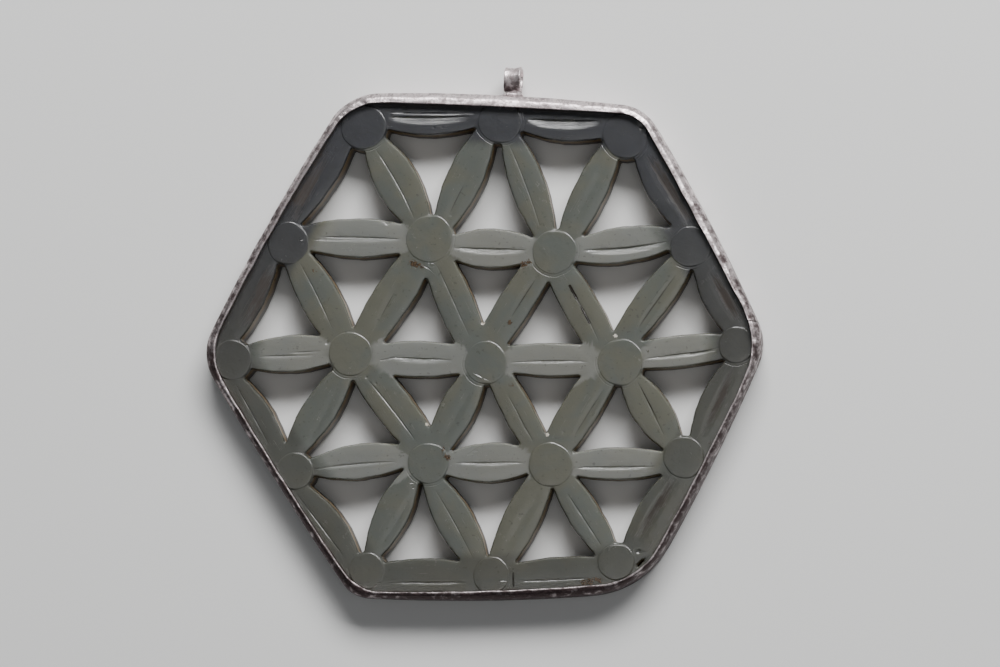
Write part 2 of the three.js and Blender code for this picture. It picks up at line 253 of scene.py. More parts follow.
class Value:
    """What one socket gives. Arithmetic between values, or with numbers, adds Math nodes."""

    def __init__(self, finish, socket):
        self.finish = finish
        self.socket = socket

    def maths(self, operation, first, second):
        return self.finish.node("ShaderNodeMath", {"operation": operation}, {0: first, 1: second})

    def __add__(self, other):
        return self.maths("ADD", self, other)

    def __radd__(self, other):
        return self.maths("ADD", other, self)

    def __sub__(self, other):
        return self.maths("SUBTRACT", self, other)

    def __rsub__(self, other):
        return self.maths("SUBTRACT", other, self)

    def __mul__(self, other):
        return self.maths("MULTIPLY", self, other)

    def __rmul__(self, other):
        return self.maths("MULTIPLY", other, self)

    def __truediv__(self, other):
        return self.maths("DIVIDE", self, other)

    def least(self, other):
        return self.maths("MINIMUM", self, other)

    def most(self, other):
        return self.maths("MAXIMUM", self, other)

    def between(self, low, high):
        """0 at low, 1 at high, smooth between."""
        return self.finish.node(
            "ShaderNodeMapRange", {"interpolation_type": "SMOOTHSTEP"},
            {"Value": self, "From Min": low, "From Max": high},
        )


class Finish:
    """A material and its nodes."""

    def __init__(self, name, **constants):
        self.material = bpy.data.materials.new(name)
        self.material.use_nodes = True
        self.tree = self.material.node_tree
        self.shader = self.tree.nodes["Principled BSDF"]
        for socket, value in constants.items():
            self.shader.inputs[socket.replace("_", " ")].default_value = value

    def node(self, kind, settings=None, inputs=None, output=0):
        """Adds a node, with its settings set before its sockets are fed, and gives one output."""
        made = self.tree.nodes.new(kind)
        for name, value in (settings or {}).items():
            setattr(made, name, value)
        for name, value in (inputs or {}).items():
            self.feed(made.inputs[name], value)
        return Value(self, made.outputs[output])

    def feed(self, socket, value):
        if isinstance(value, Value):
            self.tree.links.new(value.socket, socket)
        elif hasattr(socket.default_value, "__len__") and len(socket.default_value) == 4:
            socket.default_value = (*value, 1) if len(value) == 3 else value
        else:
            socket.default_value = value

    def place(self):
        """Where a point of the piece lies, in millimetres."""
        spot = self.node("ShaderNodeTexCoord", output=3)
        return self.node("ShaderNodeVectorMath", {"operation": "SCALE"}, {0: spot, "Scale": 1 / MM})

    def stretched(self, place, turn, stretch):
        """The place turned about Z and then squeezed, for grain that runs one way."""
        return self.node(
            "ShaderNodeMapping", {"vector_type": "TEXTURE"},
            {"Vector": place, "Rotation": (0, 0, turn), "Scale": stretch},
        )

    def noise(self, place, scale, detail=2.0, roughness=0.5, distortion=0.0):
        return self.node(
            "ShaderNodeTexNoise", {"noise_dimensions": "3D"},
            {
                "Vector": place, "Scale": scale, "Detail": detail, "Roughness": roughness,
                "Distortion": distortion,
            },
        )

    def attribute(self, name):
        return self.node(
            "ShaderNodeAttribute", {"attribute_type": "GEOMETRY", "attribute_name": name}, output=2
        )

    def part(self, vector, axis):
        """One coordinate of a vector: 0 for x, 1 for y, 2 for z."""
        return self.node("ShaderNodeSeparateXYZ", {}, {"Vector": vector}, output=axis)

    def mix(self, factor, first, second):
        """The first colour at factor 0, the second at 1."""
        return self.node(
            "ShaderNodeMix", {"data_type": "RGBA", "blend_type": "MIX"},
            {0: factor, 6: first, 7: second}, output=2
        )

    def bump(self, height):
        """The normal bent by a height in millimetres."""
        return self.node("ShaderNodeBump", {}, {"Height": height, "Distance": MM, "Strength": 1.0})

    def wear(self, **sockets):
        for socket, value in sockets.items():
            self.feed(self.shader.inputs[socket.replace("_", " ")], value)
        return self.material


def cut_line(finish, name):
    """Height of a crisp cut beside the line that a set of attributes gives, in millimetres."""
    across = finish.attribute(name + "_across")
    lit = (1 + across / finish.attribute(name + "_breadth")).most(0).least(1)
    steep = (1 - across / 0.05).most(0).least(1)
    return -1 * finish.attribute(name + "_depth") * lit.least(steep)


def wheel_marks(finish, place):
    """The fine streaks of the wheel, which run along each petal."""
    streaks = 0.0
    for name, turn in (("level", 0.03), ("falling", -1.04), ("rising", 1.03)):
        grain = finish.noise(finish.stretched(place, turn, (5.0, 0.13, 1.0)), 1.0, 3.0, 0.6)
        streaks = streaks + finish.attribute("runs_" + name) * (grain - 0.5)
    return streaks


# Colours of marks and of painted light: a painted sheen on the level petals, painted highlights in the
# wheel-cut scoops, dark flecks, the crack, painted dark with the shade inside it, crumbs of dirt and whitish
# spots at corners of the jade, and the pits and the lapped seam of the silver.
LEVEL_SHEEN = (0.26, 0.262, 0.245)
SCOOP_HIGHLIGHT = (0.36, 0.36, 0.34)
FLECKED = (0.05, 0.05, 0.04)
CRACKED = (0.012, 0.008, 0.005)
CRUMB_BROWN = (0.11, 0.072, 0.042)
WHITE_SPOT_TONE = (0.62, 0.58, 0.50)
PITTED = (0.110, 0.082, 0.082)
SEAM = (0.02, 0.012, 0.01)


def jade_finish(sizes):
    finish = Finish(
        "jade", IOR=1.61, Subsurface_Weight=0.85, Subsurface_Radius=(1.0, 1.0, 0.8), Subsurface_Scale=0.0012,
    )
    place = finish.place()
    height_here = finish.part(place, 2)
    facing = finish.node("ShaderNodeNewGeometry", output=3)
    upright = finish.part(facing, 2)
    steep = 1 - (upright * upright).between(0.3, 0.6)
    below = finish.attribute("top") - height_here
    edge = finish.attribute("edge")
    boss = finish.attribute("boss")
    scoop = finish.attribute("scoop")
    clouds = finish.noise(place, 0.13, 3.0, 0.55, 0.6)
    patches = finish.noise(place, 0.6, 2.0, 0.55, 0.4)
    speckle = finish.noise(place, 5.0, 2.0, 0.6)
    streaks = wheel_marks(finish, place)

    body, warm, bezel_shade_cool, bezel_shade_grey = (tuple(shade) for shade in (sizes.body, sizes.warm, sizes.bezel_shade_cool, sizes.bezel_shade_grey))
    ochre, dirt_and_shade = tuple(sizes.ochre), tuple(sizes.dirt_and_shade)
    tone = finish.mix(clouds.between(0.40, 0.64), body, warm)
    tone = finish.mix((patches - 0.5) * 0.9 + 0.4, tone, finish.mix(0.6, tone, warm))
    # A painted sheen lightens the level petals away from the bezel.
    tone = finish.mix(finish.attribute("pale") * 0.55, tone, LEVEL_SHEEN)
    # Painted shade beside the bezel: bluish towards the loop's end, greyer at the other.
    beside = finish.mix(finish.part(place, 1).between(-16, 24), bezel_shade_grey, bezel_shade_cool)
    tone = finish.mix(finish.attribute("bezel"), tone, beside)
    # Painted highlights: streaky light in the wheel-cut scoops, which face the key light.
    tone = finish.mix((scoop * (0.25 + streaks * 2.5)).most(0).least(0.7), tone, SCOOP_HIGHLIGHT)
    tone = finish.mix(finish.noise(place, 2.2, 2.0).between(0.64, 0.74) * 0.35, tone, FLECKED)
    # Down the walls the brown skin darkens from ochre to dirt: old dirt, and painted shade deep in the
    # openings.
    skin_and_shade = finish.mix((below + (patches - 0.5) * 2.0).between(0.7, 2.4), ochre, finish.mix(0.75, tone, dirt_and_shade))
    # The walls keep the stone's brown skin. It begins further down on those that face the loop's side,
    # towards the key light, which paints their tops lighter.
    lit_side = steep * (finish.part(facing, 1) + finish.part(facing, 0) * 0.5).between(0.15, 0.6)
    skin_shown = 1 - lit_side * (1 - below.between(0.25, 0.7))
    sawn = steep * skin_shown * (below + (speckle - 0.5) * 0.2).between(0.05, 0.22) * (0.6 + patches).least(1)
    tone = finish.mix(sawn, tone, skin_and_shade)
    grain = (streaks * 2.4 + patches - 0.5) * 0.8
    # Dark bands by the bezel: dirt, with painted shade under the lip along the top and where the lip meets
    # the jade.
    grime_and_shade = (finish.attribute("stain") + grain).between(0.30, 0.85)
    tone = finish.mix(grime_and_shade * 0.92, tone, dirt_and_shade)
    # The brown hairlines, and the open crack painted near black as the shade inside it.
    line = finish.attribute("vein_across") / finish.attribute("vein_breadth")
    vein = (1 - line * line).most(0) * finish.attribute("vein_depth") * (0.3 + patches * 1.4)
    tone = finish.mix(vein.least(1), tone, CRACKED)
    crumb = (finish.attribute("crumb") + (speckle - 0.5) * 1.4).between(0.40, 0.55)
    tone = finish.mix(crumb, tone, finish.mix(speckle.between(0.4, 0.6), dirt_and_shade, CRUMB_BROWN))
    # Whitish spots at some corners of the openings.
    bruise = (finish.attribute("bruise") + (speckle - 0.5) * 0.9).between(0.35, 0.60)
    tone = finish.mix(bruise, tone, WHITE_SPOT_TONE)

    rough = 0.24 + (patches - 0.5) * 0.12 + (speckle - 0.5) * 0.08
    rough = rough - scoop * 0.05 + streaks * scoop * 0.5 + grime_and_shade * 0.35 + sawn * 0.25
    height = speckle * 0.002 + finish.noise(place, 1.3, 3.0, 0.6) * 0.018
    height = height + streaks * (0.005 + scoop * 0.09)
    height = height + (cut_line(finish, "groove") + cut_line(finish, "slip")) * (0.55 + patches * 0.9)
    height = height - (0.20 - edge).most(0) * (0.45 + patches * 0.5)
    # A boss stands a little proud, with a second line outside it where the drill slipped.
    slip = (boss - 0.42) / 0.08
    ring = (1 - slip * slip).most(0) * finish.attribute("arc") * 0.04
    height = height + (1 - boss.between(-0.04, 0.11)) * (sizes.boss_step / MM) * (0.5 + patches) - ring
    height = height + crumb * 0.12 + bruise * speckle * 0.05 - vein.least(1) * 0.08
    return finish.wear(Base_Color=tone, Roughness=rough, Normal=finish.bump(height))


def silver_finish(sizes):
    finish = Finish("worn_silver", Metallic=1.0)
    place = finish.place()
    lit_and_rubbed = finish.attribute("lit_and_rubbed")
    lap = finish.attribute("lap")
    mottle = finish.noise(place, 0.5, 3.0, 0.6, 0.3)
    fleck = finish.noise(place, 2.6, 3.0, 0.7)
    worn_off = finish.noise(place, 1.1, 3.0, 0.6)
    # Tarnish and painted shade: silver away from the key light is painted dull, silver facing it bright.
    dull_and_shaded = ((1 - lit_and_rubbed) + (mottle - 0.5) * 1.6 + (worn_off - 0.5) * 1.4).between(0.0, 1.0)
    tone = finish.mix(dull_and_shaded, tuple(sizes.bright), tuple(sizes.tarnish_and_shade))
    pits = (fleck + (worn_off - 0.5) * 0.9).between(0.46, 0.60)
    tone = finish.mix(pits * (0.65 - lit_and_rubbed * 0.2), tone, PITTED)
    seam = (1 - lap * lap / 0.012).most(0)
    tone = finish.mix(seam, tone, SEAM)
    rough = 0.36 + dull_and_shaded * 0.14 + pits * 0.15
    scrape = finish.noise(finish.stretched(place, 0.4, (2.0, 0.08, 2.0)), 1.0, 3.0)
    height = (fleck * 0.05 + mottle * 0.08 + scrape * 0.012 - pits * 0.015) * (1.3 - lit_and_rubbed * 0.5)
    height = height - lap.between(-0.06, 0.06) * 0.10
    return finish.wear(Base_Color=tone, Roughness=rough, Normal=finish.bump(height))


# ---- Working on meshes --------------------------------------------------------------------


def cad_copy(node):
    """A merged copy of a CAD node's mesh."""
    bm = bmesh.new()
    bm.from_mesh(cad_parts[node].data)
    bmesh.ops.remove_doubles(bm, verts=bm.verts, dist=1e-6)
    return bm


def new_object(name, bm):
    mesh = bpy.data.meshes.new(name)
    bm.to_mesh(mesh)
    bm.free()
    made = bpy.data.objects.new(name, mesh)
    bpy.context.scene.collection.objects.link(made)
    return made


def applied(made, kind, **settings):
    """Adds a modifier and keeps its result as the object's own mesh."""
    modifier = made.modifiers.new(kind.title(), kind)
    for name, value in settings.items():
        setattr(modifier, name, value)
    held = made.data
    graph = bpy.context.evaluated_depsgraph_get()
    mesh = bpy.data.meshes.new_from_object(made.evaluated_get(graph))
    made.modifiers.clear()
    made.data = mesh
    mesh.name = held.name
    bpy.data.meshes.remove(held)


def points(mesh):
    """The vertices in millimetres, one row each."""
    flat = np.empty(3 * len(mesh.vertices), dtype=np.float32)
    mesh.vertices.foreach_get("co", flat)
    return flat.reshape(-1, 3).astype(np.float64) / MM


def set_points(mesh, place):
    mesh.vertices.foreach_set("co", (place * MM).astype(np.float32).ravel())
    mesh.update()


def set_attribute(mesh, name, values):
    layer = mesh.attributes.new(name, "FLOAT", "POINT")
    layer.data.foreach_set("value", values.astype(np.float32))


def smooth_between(low, high, x):
    t = np.clip((x - low) / (high - low), 0, 1)
    return t * t * (3 - 2 * t)


def ripple(x, y, wavelength, seed, waves=14):
    """A gentle seeded unevenness over the plane, between about -1 and 1."""
    rng = np.random.default_rng(seed)
    total = np.zeros_like(x)
    for _ in range(waves):
        angle = rng.uniform(0, 2 * math.pi)
        number = 2 * math.pi / (wavelength * rng.uniform(0.7, 1.6))
        total += np.sin(number * (x * math.cos(angle) + y * math.sin(angle)) + rng.uniform(0, 7))
    return total / math.sqrt(waves / 2) / 1.6


class Nearest:
    """How far points lie from a set of edges, in the plane."""

    def __init__(self, edges, step=0.06):
        spots = []
        for start, end in edges:
            count = max(1, math.ceil(np.hypot(*(end - start)) / step))
            share = np.arange(count)[:, None] / count
            spots.append(start + (end - start) * share)
        spots = np.concatenate(spots)
        self.tree = kdtree.KDTree(len(spots))
        for i, (x, y) in enumerate(spots):
            self.tree.insert((x, y, 0), i)
        self.tree.balance()

    def distance(self, x, y):
        find = self.tree.find
        return np.array([find((a, b, 0))[2] for a, b in zip(x.tolist(), y.tolist())])


def plane_point(v):
    return np.array([v.co.x / MM]), np.array([v.co.y / MM])


def plane_edges(bm_edges):
    return [tuple(np.array(v.co[:2]) / MM for v in edge.verts) for edge in bm_edges]


def boundary_groups(edges):
    """The edges sorted into closed lines."""
    left = set(edges)
    groups = []
    while left:
        line, front = [], [left.pop()]
        while front:
            edge = front.pop()
            line.append(edge)
            linked = {e for v in edge.verts for e in v.link_edges if e in left}
            left -= linked
            front.extend(linked)
        groups.append(line)
    return groups


# ---- Jade -----------------------------------------------------------------------------------

BLANK_TOP = 3.5  # where the CAD solid is cut off flat, below its carving
WALL_LEFT_ALONE = 1.5  # below this height the walls stay as they are
WALL_LEVEL = 2.5  # height at which the openings are measured
SHARP = 42  # degrees between faces that meet in a sharp edge
CUT_WALL = 0.12  # breadth of the steep side of a wheel cut
CUT_DEPTH = 0.42  # depth of a cut's fine line, as a share of its breadth
FAR = 9.0  # stands for no line near


def cad_shift():
    """How far the frame's layout stands from the sizes in BOSSES, found at the flat of one boss."""
    x0, y0, radius = BOSSES["B2"]
    place = points(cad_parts["jade_plaque"].data)
    flat = place[(place[:, 2] > place[:, 2].max() - 0.02)][:, :2]
    near = flat[np.hypot(flat[:, 0] - x0, flat[:, 1] - y0) < 2 * radius]
    middle = (near.min(axis=0) + near.max(axis=0)) / 2
    return middle - np.array([x0, y0])


def lie(x, y, line, bow=0.0):
    """How far each point lies to the left of a line, and how full its cut is there."""
    start_x, start_y, end_x, end_y = line[:4]
    dx, dy = end_x - start_x, end_y - start_y
    run = math.hypot(dx, dy)
    along = ((x - start_x) * dx + (y - start_y) * dy) / run**2
    share = np.clip(along, 0, 1)
    left = ((y - start_y) * dx - (x - start_x) * dy) / run - 4 * bow * share * (1 - share)
    taper = np.where((along > 0) & (along < 1), np.sin(math.pi * share) ** 0.6, 0)
    return left, taper


def boss_edge(x, y, i, bx, by, radius):
    """How far outside a boss's slightly uneven edge each point lies."""
    angle = np.arctan2(y - by, x - bx)
    uneven = 1 + 0.018 * np.cos(2 * angle + i) + 0.014 * np.cos(3 * angle + 2.3 * i)
    return np.hypot(x - bx, y - by) - radius * (uneven + 0.008 * np.cos(7 * angle + i))


def close_to(x, y, line, reach=1.8):
    x0, x1 = sorted((line[0], line[2]))
    y0, y1 = sorted((line[1], line[3]))
    return np.flatnonzero((x > x0 - reach) & (x < x1 + reach) & (y > y0 - reach) & (y < y1 + reach))


class Carving:
    """The carved face: its height and what has happened to it, at any point."""

    def __init__(self, sizes, openings, lip, shift):
        self.sizes = sizes
        self.openings = openings
        self.lip = lip
        self.shift = shift

    def seen(self, place):
        """Points in the layout's own place, how far they lie from an opening and from the lip."""
        x, y = place[:, 0], place[:, 1]
        edge, rim = self.openings.distance(x, y), self.lip.distance(x, y)
        return x - self.shift[0], y - self.shift[1], edge, rim

    def height(self, x, y, edge, rim):
        sizes = self.sizes
        top = np.full_like(x, sizes.crest / MM)
        top -= sizes.fall / MM * (1 - np.clip(edge / (sizes.fall_reach / MM), 0, 1)) ** 2
        top -= 0.10 * (1 - np.clip(rim / 1.6, 0, 1)) ** 1.5
        top += 0.026 * ripple(x, y, 7.0, 1) + 0.008 * ripple(x, y, 2.2, 2)
        crisp = [(line, CUT_WALL) for line in (*SCOOPS, *SECOND_CUTS, *CREASES)]
        soft = [(line, 0.9 * line[4]) for line in HOLLOWS]
        for line, steep in crisp + soft:
            scooped, depth, bow = line[4:]
            near = close_to(x, y, line)
            left, taper = lie(x[near], y[near], line, bow)
            right = np.clip(1 + left / (scooped * (0.35 + 0.65 * taper)), 0, 1) ** 1.1
            top[near] -= depth * taper * np.where(left > 0, np.clip(1 - left / steep, 0, 1), right)
        for i, (bx, by, radius) in enumerate(BOSSES.values()):
            out = boss_edge(x, y, i, bx, by, radius)
            flat = sizes.boss_top / MM - 0.03 * np.clip(1 + out / radius, 0, 1) ** 2
            flat = flat + 0.006 * ripple(x, y, 2.5, 40 + i)
            top += (flat - top) * smooth_between(0.16, -0.14, out)
        for cx, cy, radius, depth in CHIPS:
            away = np.hypot(x - cx, (y - cy) * 1.2) / radius
            top -= depth * np.clip(1 - away**2, 0, 1)
        top -= sizes.arris / MM * (1 - np.clip(edge / (sizes.arris_reach / MM), 0, 1)) ** 2
        return top

    def nearest_line(self, x, y, cuts):
        """How far a point lies to the left of its nearest line, and that line's depth and breadth."""
        across = np.full_like(x, FAR)
        depth, breadth = np.zeros_like(x), np.full_like(x, 0.15)
        for line, wide, deep in cuts:
            near = close_to(x, y, line)
            left, taper = lie(x[near], y[near], line, line[6] if len(line) > 6 else 0.0)
            chosen = (np.abs(left) < np.minimum(np.abs(across[near]), 0.7)) & (taper > 0)
            picked = near[chosen]
            across[picked] = left[chosen]
            depth[picked] = deep * taper[chosen]
            breadth[picked] = wide
        return across, depth, breadth

    def scooped(self, x, y):
        total = np.zeros_like(x)
        for line in SCOOPS:
            near = close_to(x, y, line)
            left, taper = lie(x[near], y[near], line, line[6])
            side = np.where(left > 0.1, 0, np.clip(1.2 + left / (line[4] * (0.35 + 0.65 * taper)), 0, 1))
            total[near] = np.maximum(total[near], taper * side * min(1, line[5] / 0.3))
        return total

    def banded(self, x, y):
        total = np.zeros_like(x)
        for line in BANDS:
            near = close_to(x, y, line)
            left, taper = lie(x[near], y[near], line)
            total[near] = np.maximum(
                total[near], line[5] * taper * smooth_between(1.5, 0.5, np.abs(left) / line[4])
            )
        return total

    def spotted(self, x, y, spots):
        return np.max([np.clip(1 - np.hypot(x - sx, y - sy) / r / 1.5, 0, 1) for sx, sy, r in spots], axis=0)

    def bezel_shade(self, x, y, rim):
        """Where shade is painted on the jade: the outer bosses and the petals that the bezel holds, darkest
        towards the loop's end.
        """
        in_boss = smooth_between(0.15, -0.05, self.bosses(x, y)) * smooth_between(6.6, 6.0, rim)
        return np.maximum(in_boss, smooth_between(5.1, 4.0, rim)) * (0.66 + 0.30 * smooth_between(-14, 4, y))

    def bosses(self, x, y):
        return np.min([boss_edge(x, y, i, *boss) for i, boss in enumerate(BOSSES.values())], axis=0)

    def arcs(self, x, y):
        total = np.zeros_like(x)
        for name, middle, half, strength in ARCS:
            bx, by, radius = BOSSES[name]
            turn = np.degrees(np.arctan2(x - bx, y - by)) - middle
            off = np.abs((turn + 180) % 360 - 180)
            here = smooth_between(half + 8, half - 8, off) * (np.hypot(x - bx, y - by) < radius + 1.2)
            total = np.maximum(total, strength * here)
        return total

    def runs(self, x, y):
        """Which way the nearest petal runs: 0 level, 1 falling to the right, 2 rising."""
        spots = {name: np.array(boss[:2]) for name, boss in BOSSES.items()}
        nearest, way = np.full_like(x, 99.0), np.zeros_like(x)
        for first, a in spots.items():
            for second, b in spots.items():
                dx, dy = b - a
                run = math.hypot(dx, dy)
                if first < second and run < 22:
                    share = np.clip(((x - a[0]) * dx + (y - a[1]) * dy) / run**2, 0, 1)
                    away = np.hypot(x - a[0] - share * dx, y - a[1] - share * dy)
                    way = np.where(away < nearest, 0 if first[0] == second[0] else 1 if dx > 0 else 2, way)
                    nearest = np.minimum(nearest, away)
        return way


def spread(edges):
    """How wide a line of edges is."""
    across = [edge[0][0] for edge in edges]
    return max(across) - min(across)


def jade_blank():
    """The plaque's outline and openings, cut off flat below its carving."""
    bm = cad_copy("jade_plaque")
    cut = bmesh.ops.bisect_plane(
        bm, geom=[*bm.verts, *bm.edges, *bm.faces], plane_co=(0, 0, BLANK_TOP * MM), plane_no=(0, 0, 1),
        clear_outer=True,
    )
    rim = [e for e in cut["geom_cut"] if isinstance(e, bmesh.types.BMEdge)]
    bmesh.ops.triangle_fill(bm, edges=rim, use_beauty=True, normal=(0, 0, 1))
    return bm


class JADE_OT_plaque(bpy.types.Operator):
    """Carve the jade plaque from the outline of its CAD solid"""

    bl_idname = "jade.plaque"
    bl_label = "Carve the Plaque"

    def execute(self, context):
        sizes = context.scene.jade_settings
        made = new_object("carved_plaque", jade_blank())
        grain = sizes.grain * 1
        applied(made, "REMESH", mode="VOXEL", voxel_size=grain)
        self.soften_walls(made.data)
        carving = Carving(sizes, Nearest(self.openings(made.data), 0.04), Nearest(lip_edges()), cad_shift())
        self.raise_face(made.data, carving)
        triangles = sum(len(face.vertices) - 2 for face in made.data.polygons)
        applied(made, "DECIMATE", ratio=min(1.0, sizes.most_faces / triangles))
        made.data.shade_smooth()
        made.data.set_sharp_from_angle(angle=math.radians(SHARP))
        self.record_wear(made.data, carving)
        made.data.materials.clear()
        made.data.materials.append(jade_finish(sizes))
        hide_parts("jade_plaque")
        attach(made, "root")
        return {"FINISHED"}

    def soften_walls(self, mesh):
        """Takes the facets of the outline off and lets the sawn walls wander a little."""
        bm = bmesh.new()
        bm.from_mesh(mesh)
        steep = [v for v in bm.verts if abs(v.normal.z) < 0.93]
        for _ in range(6):
            bmesh.ops.smooth_vert(
                bm, verts=steep, factor=0.5, use_axis_x=True, use_axis_y=True, use_axis_z=False
            )
        bm.to_mesh(mesh)
        bm.free()
        place = points(mesh)
        x, y = place[:, 0].copy(), place[:, 1].copy()
        place[:, 0] += 0.035 * ripple(x, y, 3.6, 5) + 0.008 * ripple(x, y, 1.2, 6)
        place[:, 1] += 0.035 * ripple(x, y, 3.6, 7) + 0.008 * ripple(x, y, 1.2, 8)
        set_points(mesh, place)

    def openings(self, mesh):
        """The edges of the openings at half height."""
        bm = bmesh.new()
        bm.from_mesh(mesh)
        level = WALL_LEVEL * MM
        crossing = [f for f in bm.faces if len({v.co.z > level for v in f.verts}) == 2]
        near = {*crossing, *(e for f in crossing for e in f.edges), *(v for f in crossing for v in f.verts)}
        cut = bmesh.ops.bisect_plane(bm, geom=list(near), plane_co=(0, 0, level), plane_no=(0, 0, 1))
        groups = boundary_groups([e for e in cut["geom_cut"] if isinstance(e, bmesh.types.BMEdge)])
        if len(groups) < 2:
            raise RuntimeError("the plaque has no openings")
        lines = sorted((plane_edges(group) for group in groups), key=spread)
        bm.free()
        return [edge for line in lines[:-1] for edge in line]

    def raise_face(self, mesh, carving):
        place = points(mesh)
        face = place[:, 2] > WALL_LEFT_ALONE
        height = carving.height(*carving.seen(place[face]))
        share = smooth_between(WALL_LEFT_ALONE, BLANK_TOP - 0.1, place[face, 2])
        place[face, 2] += (height - BLANK_TOP) * share
        set_points(mesh, place)

    def record_wear(self, mesh, carving):
        place = points(mesh)
        x, y, edge, rim = carving.seen(place)
        on_face = place[:, 2] > BLANK_TOP
        worn = {
            "edge": edge,
            "top": carving.height(x, y, np.zeros_like(x), rim),
            "boss": np.minimum(carving.bosses(x, y), 3.0),
            "arc": carving.arcs(x, y),
            "scoop": carving.scooped(x, y) * on_face,
            "bezel": carving.bezel_shade(x, y, rim),
            # The dark line where the lip meets the jade is painted shade.
            "stain": np.maximum(carving.banded(x, y), 0.7 * smooth_between(0.3, 0.0, rim)) * on_face,
            "crumb": carving.spotted(x, y, CRUMBS),
            "bruise": carving.spotted(x, y, WHITE_SPOTS) * on_face,
        }
        way = carving.runs(x, y)
        for i, name in enumerate(("level", "falling", "rising")):
            worn["runs_" + name] = (way == i) * smooth_between(-0.1, 0.3, worn["boss"])
        # The level petals away from the bezel get a painted sheen.
        worn["pale"] = worn["runs_level"] * smooth_between(5.0, 6.2, rim)
        grooves = [(line, min(0.20, 0.35 * line[4])) for line in (*SCOOPS, *CREASES)]
        slips = [(line, 0.5 * line[4]) for line in (*SECOND_CUTS, *SCRATCHES)]
        kinds = {
            "groove": [(line, wide, CUT_DEPTH * wide) for line, wide in grooves],
            "slip": [(line, wide, CUT_DEPTH * wide) for line, wide in slips],
            "vein": [(line, line[4], line[5]) for line in VEINS],
        }
        for name, cuts in kinds.items():
            across, depth, breadth = carving.nearest_line(x, y, cuts)
            worn[name + "_across"] = across
            worn[name + "_depth"] = depth * on_face
            worn[name + "_breadth"] = breadth
        for name, values in worn.items():
            set_attribute(mesh, name, values)


# ---- Silver ---------------------------------------------------------------------------------

LAP = (34.1, 0.9)  # where the ends of the bezel's strip lap
LIP_UNDERSIDE = 4.78  # height of the lip's underside in the frame
LIP_ON_JADE = 4.12  # and pressed down on the jade
LOOP_METAL = 0.42  # thickness of the loop's strip


def lip_edges():
    """The hammered edge of the bezel's lip in the plane, from its CAD solid."""
    bm = cad_copy("silver_rim")
    top = max(v.co.z for v in bm.verts)
    ring = [e for e in bm.edges if all(v.co.z > top - 1e-6 for v in e.verts)]
    edges = plane_edges(ring)
    bm.free()
    return edges


class SILVER_OT_bezel(bpy.types.Operator):
    """Bend, round and planish the silver bezel"""

    bl_idname = "silver.bezel"
    bl_label = "Make the Bezel"

    def execute(self, context):
        sizes = context.scene.silver_settings
        bm = cad_copy("silver_rim")
        top = max(v.co.z for v in bm.verts)
        bmesh.ops.join_triangles(
            bm, faces=bm.faces, angle_face_threshold=math.radians(40), angle_shape_threshold=math.radians(60)
        )
        lip = Nearest(lip_edges())
        for v in bm.verts:
            if (
                LIP_UNDERSIDE - 0.1 < v.co.z / MM < LIP_UNDERSIDE + 0.1
                and lip.distance(*plane_point(v))[0] < 0.05
            ):
                v.co.z = LIP_ON_JADE * MM
        crease = bm.edges.layers.float.new("crease_edge")
        for e in bm.edges:
            low, high = sorted(v.co.z for v in e.verts)
            if high - low < 1e-6:
                e[crease] = (
                    0.75 if low > top - 1e-6 else 0.5 if high < 0.0005 else 0.35 if low > 0.0045 else 0.0
                )
        made = new_object("silver_bezel", bm)
        applied(made, "SUBSURF", levels=3, render_levels=3)
        made.data.shade_smooth()
        place = points(made.data)
        inward = lip.distance(place[:, 0], place[:, 1])
        self.planish(place, inward, sizes.hammer / MM)
        set_points(made.data, place)
        x, y, z = place.T
        # Painted light: the side of the bezel that faces the key light is painted bright. The bright line
        # along the lip's inner edge is partly rubbed wear and partly painted highlight.
        side = (0.5 + 0.5 * np.cos(np.arctan2(y, x) - math.radians(85))) ** 1.6
        edge = smooth_between(0.22, 0.05, inward) * (z > 4.6)
        set_attribute(made.data, "lit_and_rubbed", np.clip(0.95 * side + 0.7 * edge, 0, 1))
        lap = np.where(x > 28, y - LAP[1] + (x - LAP[0]) * 0.1, FAR)
        set_attribute(made.data, "lap", lap)
        made.data.materials.clear()
        made.data.materials.append(silver_material(sizes))
        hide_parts("silver_rim")
        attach(made, "root")
        return {"FINISHED"}

    def planish(self, place, inward, depth):
        """Uneven hammering of the rounded front, most of it along the lip."""
        x, y, z = place.T
        front = smooth_between(2.5, 4.6, z)
        lip = front * smooth_between(0.8, 0.0, inward)
        place[:, 2] -= front * depth * (1 + ripple(x, y, 2.0, 11)) + lip * 0.03 * ripple(x, y, 0.9, 12)
        out = np.hypot(x, y)
        dents = 0.025 * ripple(x, y, 3.0, 13) + 0.012 * ripple(x, y, 0.9, 14)
        shift = lip * dents + front * 0.02 * ripple(x, y, 4.5, 15)
        place[:, 0] += shift * x / out
        place[:, 1] += shift * y / out


